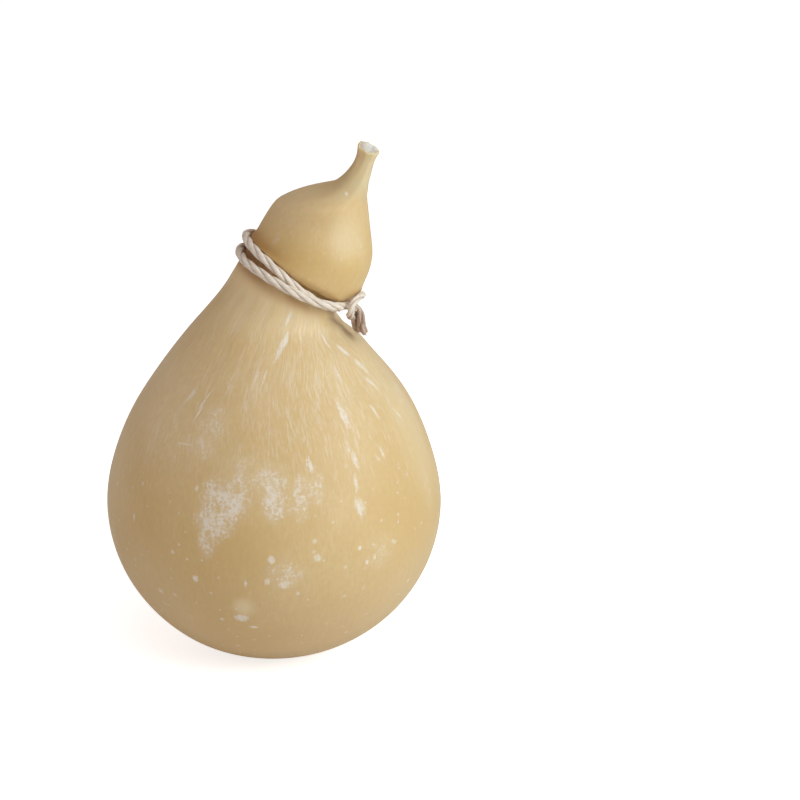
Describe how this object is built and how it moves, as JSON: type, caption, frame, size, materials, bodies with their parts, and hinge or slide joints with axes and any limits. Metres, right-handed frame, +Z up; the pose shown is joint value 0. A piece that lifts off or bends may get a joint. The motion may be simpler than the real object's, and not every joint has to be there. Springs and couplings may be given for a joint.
{
  "type": "aged caciocavallo",
  "caption": "Gourd-shaped aged caciocavallo with a smooth golden rind, a leaning head that ends in a cut stem, and a natural laid cord wound and knotted round its neck.",
  "frame": {"origin": "middle of the flat foot that the cheese stands on", "axes": "+Z up through the belly, -Y towards the front, +X towards the side that the head leans to and the cord is knotted on"},
  "size_m": [0.1482, 0.1474, 0.2319],
  "materials": {
    "rind": "smooth waxy straw-gold rind with faint white bloom",
    "natural_cord": "off-white laid cord, slightly hairy"
  },
  "bodies": {
    "root": {"cheese": "rind", "neck_cord": "natural_cord"}
  },
  "joints": []
}
